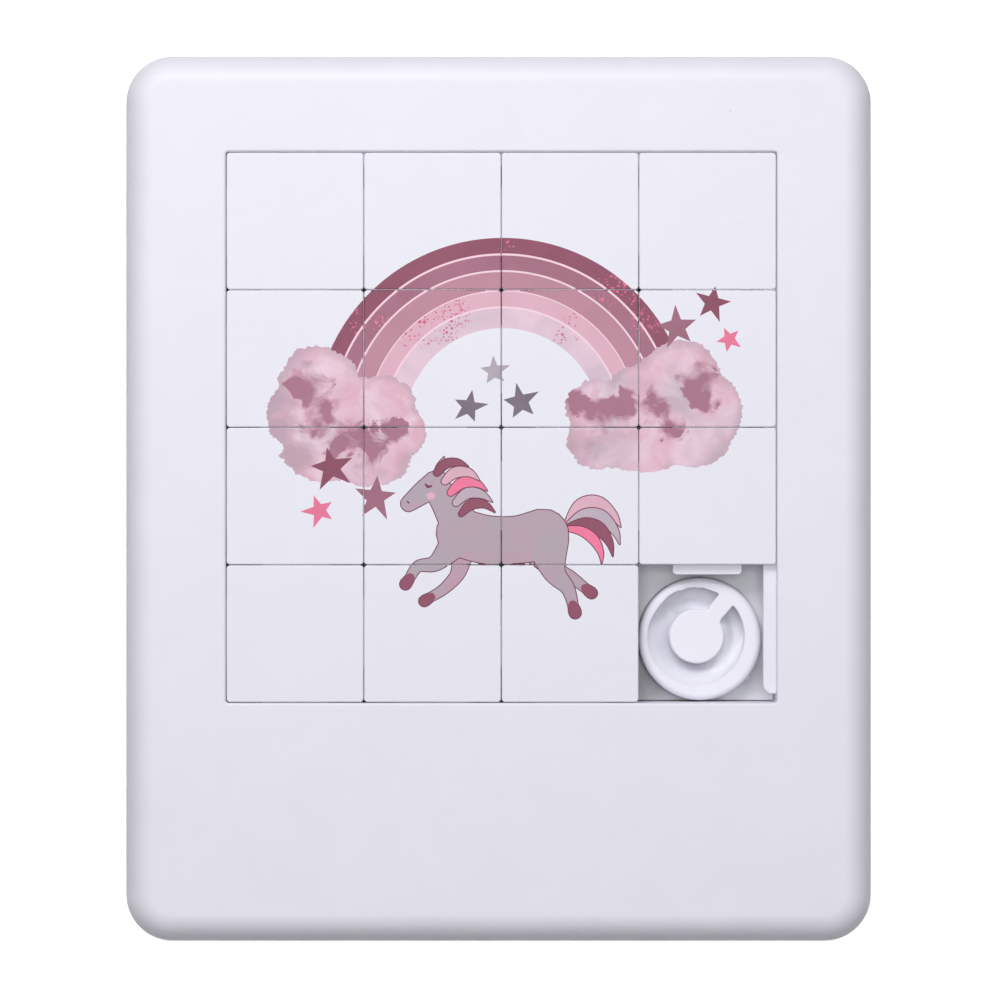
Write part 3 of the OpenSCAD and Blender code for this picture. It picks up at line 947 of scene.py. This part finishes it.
def offset(pts, ds):
    """Moves a closed anticlockwise outline outwards, each point by its own distance."""
    n = len(pts)
    out = []
    for i in range(n):
        (x0, y0), (x1, y1) = pts[i - 1], pts[(i + 1) % n]
        m = math.hypot(x1 - x0, y1 - y0) or 1.0
        out.append((pts[i][0] + ds[i] * (y1 - y0) / m, pts[i][1] - ds[i] * (x1 - x0) / m))
    return out


def smooth(x, lo, hi):
    """0 below lo, 1 above hi, and a soft step between."""
    t = max(0.0, min(1.0, (x - lo) / (hi - lo)))
    return t * t * (3 - 2 * t)


def lean(a):
    """The channel leans towards the upper right: 1 in that direction, -1 opposite it. a is in degrees."""
    return math.cos(math.radians(a - 48))


def melt(a):
    """Where the rim melts into the channel instead of ending in a sharp edge: 1 at the left and below."""
    return smooth(-lean(a), 0.1, 0.6)


def channel_radius(a):
    """How far the channel reaches from the hub's middle, with a slightly ragged flash on its upper edge."""
    a %= 360
    r = 5.15 + 0.1 * melt(a)
    fade = smooth(a, 74, 88) * (1 - smooth(a, 126, 140))
    return r + fade * (0.12 - max(0.0, 0.02 + 0.34 * noise.noise(Vector((0.21 * a, 2.0, 5.0)))))


def channel_depth(t, a):
    """The channel's depth from the rim's wall, t = 0, to the hub, t = 1.

    It is a bowl across the lean. Towards the lean it is steep at the rim, and opposite it slopes to the hub.
    """
    k = lean(a)
    round_in = math.sqrt(1 - (1 - min(1.0, 1.8 * t)) ** 2)
    bowl = 0.1 + (1.6 + 0.5 * math.cos(math.radians(a - 138))) * round_in
    side = 2.1 - 0.35 * t - 1.1 * smooth(t, 0.5, 1.0) if k > 0 else 0.03 + 2.25 * t ** 1.15
    k = smooth(abs(k), 0.0, 0.85)
    return bowl * (1 - k) + side * k


def channel_outline():
    """The channel from above: round the rim, in along one side of the spoke, round the hub and out again."""
    d0 = math.degrees(math.asin(SPOKE_HALF / channel_radius(SPOKE_TURN)))
    d1 = math.degrees(math.asin(SPOKE_HALF / HUB_R))
    line = []
    for i in range(301):
        a = SPOKE_TURN + d0 + (360 - 2 * d0) * i / 300
        line.append(at(HUB_X, HUB_Y, channel_radius(a), a))
    for i in range(161):
        line.append(at(HUB_X, HUB_Y, HUB_R, SPOKE_TURN - d1 - (360 - 2 * d1) * i / 160))
    return relax(even(line, 0.07), 14)


def channel_walls(bm, top):
    """The channel's walls, softly rounded at the hub and crisper at the rim. Gives their top ring."""
    line = channel_outline()
    n = len(line)
    soft = [0.1 if math.hypot(x - HUB_X, y - HUB_Y) > 4.2 else 0.2 for x, y in line]
    soft = [sum(soft[i - 6 : i + 7]) / 13 if 6 <= i < n - 7 else soft[i] for i in range(n)]
    walls = []
    for k in range(6):
        a = math.radians(90 * k / 5)
        pts = offset(line, [q * (1 - math.sin(a)) for q in soft])
        heights = [top - q * (1 - math.cos(a)) for q in soft]
        walls.append([bm.verts.new((x * MM, y * MM, z * MM)) for (x, y), z in zip(pts, heights)])
    walls.append(ring_of(bm, offset(line, [-0.04] * n), top - CHANNEL_LOW + 0.2))
    for high, low in zip(walls, walls[1:]):
        bridge(bm, high, low)
    cap(bm, walls[-1])
    return walls[0]


def channel_floor(bm, top):
    """The channel's floor, a separate skin from just inside the rim to just inside the hub."""
    rows = []
    for k in range(-1, 23):
        row = []
        for a in range(0, 360, 2):
            wall = channel_radius(a) + 0.06
            t = max(0, k) / 20
            x, y = at(HUB_X, HUB_Y, wall - (wall - HUB_R) * t, a)
            z = top - (channel_depth(min(1.0, t), a) if k >= 0 else CHANNEL_LOW)
            row.append(bm.verts.new((x * MM, y * MM, z * MM)))
        rows.append(row)
    for low, high in zip(rows, rows[1:]):
        bridge(bm, low, high)
    cap(bm, rows[0], flip=True)
    cap(bm, rows[-1])


def make_ring():
    bm = bmesh.new()
    foot, top = RING_LO.z, RING_HI.z
    # outside, from the foot to the flat top
    rows = [(RING_R - 0.25, foot), (RING_R, foot + 0.25), (RING_R, top - RIM_EDGE)]
    for k in range(1, 10):
        a = math.radians(90 * k / 9)
        rows.append((RING_R - RIM_EDGE * (1 - math.cos(a)), top - RIM_EDGE * (1 - math.sin(a))))
    rings = [ring_of(bm, [at(RING_X, RING_Y, r, a) for a in range(0, 360, 2)], z) for r, z in rows]
    for low, high in zip(rings, rings[1:]):
        bridge(bm, low, high)
    cap(bm, rings[0], flip=True)
    fill_between(bm, rings[-1], channel_walls(bm, top))
    channel_floor(bm, top)
    # gate mark, low on the rim's outer side
    x, y = at(RING_X, RING_Y, RING_R - 0.1, -39)
    low = foot + 1.5
    mark = [(0.0, low), (0.3, low)] + arc(0.2, low + 0.8, 0.1, 0, 90, 3) + [(0.0, low + 0.9)]
    lathe(bm, mark, x, y, 16)
    # the ring's plastic carries painted shade, darker towards the bottom of the channel
    plastic = moulded("ring_plastic_recess_shade", srgb(238, 237, 247), 0.38, 0.5, 0.23, (top - 2.3, top - 0.5, 0.76))
    finish_mesh(bm, "ring_turned", [plastic], "ring_body", "cell_ring")


make_ring()

# ---------------------------------------------------------------- back cover keeps its CAD shape

FREE_X, FREE_Y = cell(3, 3)
LEFT, RIGHT, LOW = FREE_X - TILE / 2, FREE_X + TILE / 2, FREE_Y - TILE / 2

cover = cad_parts["back_cover"]
cover.data.materials.clear()
# a lighter white than the shell, which paints light onto the deep tray floor, with painted shadow in the free
# cell's two lower corners
cover.data.materials.append(
    moulded("cover_plastic_painted_light_and_shadow", srgb(243, 243, 248), 0.5, 1.0, 0.37,
            floor_shadows=((LEFT + 1.2, LOW + 1.6, 4.2, 0.5), (RIGHT - 1.8, LOW + 2.0, 3.6, 0.72)))
)

# ---------------------------------------------------------------- floor, light, camera

STAGE_Z = -0.00005  # in metres, just under the object


def pale(name, size_mm, glow, shine):
    """A plain pale material with a faint mottle and a glow of its own."""
    t = Tree(name)
    soft = t.ramp(t.noise(size_mm, 2, 0.5), 0.3, 0.7)
    t.link(t.mix(soft, (0.93, 0.93, 0.93, 1), (0.95, 0.95, 0.95, 1)), t.bsdf.inputs["Base Color"])
    t.bsdf.inputs["Roughness"].default_value = 0.9
    t.bsdf.inputs["Specular IOR Level"].default_value = shine
    t.bsdf.inputs["Emission Color"].default_value = (1, 1, 1, 1)
    t.bsdf.inputs["Emission Strength"].default_value = glow
    return t.mat


def make_floor():
    """A pale floor that gives no light back to the object, as in the photo."""
    bm = bmesh.new()
    size, n = 3.0, 24
    steps = [-size + 2 * size * i / n for i in range(n + 1)]
    grid = [[bm.verts.new((x, y, STAGE_Z)) for x in steps] for y in steps]
    for j in range(n):
        for i in range(n):
            bm.faces.new((grid[j][i], grid[j][i + 1], grid[j + 1][i + 1], grid[j + 1][i]))
    stage_mesh(bm, "floor", pale("floor_white", 60.0, 0.68, 0.1)).visible_diffuse = False


def make_backdrop():
    """A pale round wall at the floor's far edge. Only the camera sees it, so it leaves the light as it is."""
    bm = bmesh.new()
    radius, height, n = 2.9, 3.0, 96
    turns = [2 * math.pi * i / n for i in range(n)]
    rows = [[bm.verts.new((radius * math.cos(a), radius * math.sin(a), z)) for a in turns]
            for z in (STAGE_Z, height)]
    bridge(bm, *rows)
    wall = stage_mesh(bm, "backdrop", pale("backdrop_white", 600.0, 0.95, 0.5))
    wall.visible_diffuse = wall.visible_glossy = wall.visible_transmission = False
    wall.visible_shadow = wall.visible_volume_scatter = False


make_floor()
make_backdrop()

# the object's middle, in metres
CX = (cad_box[0].x + cad_box[1].x) / 2
CY = (cad_box[0].y + cad_box[1].y) / 2


def soft_box(name, place, target, size, power):
    """A rectangular light turned towards a target, in metres and watts."""
    data = bpy.data.lights.new(name, "AREA")
    data.shape = "RECTANGLE"
    data.size, data.size_y = size
    data.energy = power
    ob = bpy.data.objects.new(name, data)
    ob.location = place
    ob.rotation_euler = (Vector(target) - Vector(place)).to_track_quat("-Z", "Y").to_euler()
    bpy.context.scene.collection.objects.link(ob)


soft_box("key", (-0.06, 0.22, 0.31), (0, 0.03, 0), (0.25, 0.15), 0.7)
soft_box("over", (0.0, 0.03, 0.6), (0, 0.02, 0), (0.3, 0.2), 0.8)

world = bpy.data.worlds.new("studio")
bpy.context.scene.world = world
world.use_nodes = True
wt = world.node_tree
bg = wt.nodes["Background"]
bg.inputs["Color"].default_value = (0.98, 0.98, 1.0, 1)
split = wt.nodes.new("ShaderNodeSeparateXYZ")
wt.links.new(wt.nodes.new("ShaderNodeTexCoord").outputs["Generated"], split.inputs["Vector"])


def world_ramp(value, lo, hi, out_lo, out_hi):
    m = wt.nodes.new("ShaderNodeMapRange")
    for k, v in (("From Min", lo), ("From Max", hi), ("To Min", out_lo), ("To Max", out_hi)):
        m.inputs[k].default_value = v
    wt.links.new(value, m.inputs["Value"])
    return m.outputs["Result"]


def world_math(op, a, b):
    m = wt.nodes.new("ShaderNodeMath")
    m.operation = op
    wt.links.new(a, m.inputs[0])
    wt.links.new(b, m.inputs[1])
    return m.outputs[0]


# a soft overhead dome, brighter behind the top edge and dim at the horizon in front
up = world_ramp(split.outputs["Z"], -0.02, 0.75, 0.02, 0.51)
back = world_ramp(split.outputs["Y"], -1.0, 1.0, 0.48, 1.3)
wt.links.new(world_math("MULTIPLY", up, back), bg.inputs["Strength"])

cam_data = bpy.data.cameras.new("camera")
cam = bpy.data.objects.new("camera", cam_data)
bpy.context.scene.collection.objects.link(cam)
# straight above the object, at a distance in metres, and seeing a square of VIEW metres at the tiles' height
DIST, VIEW = 0.5, 0.10725
cam_data.sensor_width = 36.0
cam_data.lens = 36.0 * (DIST - 0.007) / VIEW
cam_data.clip_start = 0.01
cam.location = (CX + 0.00016, CY - 0.00016, DIST)
cam.rotation_euler = (0, 0, 0)
bpy.context.scene.camera = cam
bpy.context.scene.view_settings.view_transform = "Standard"
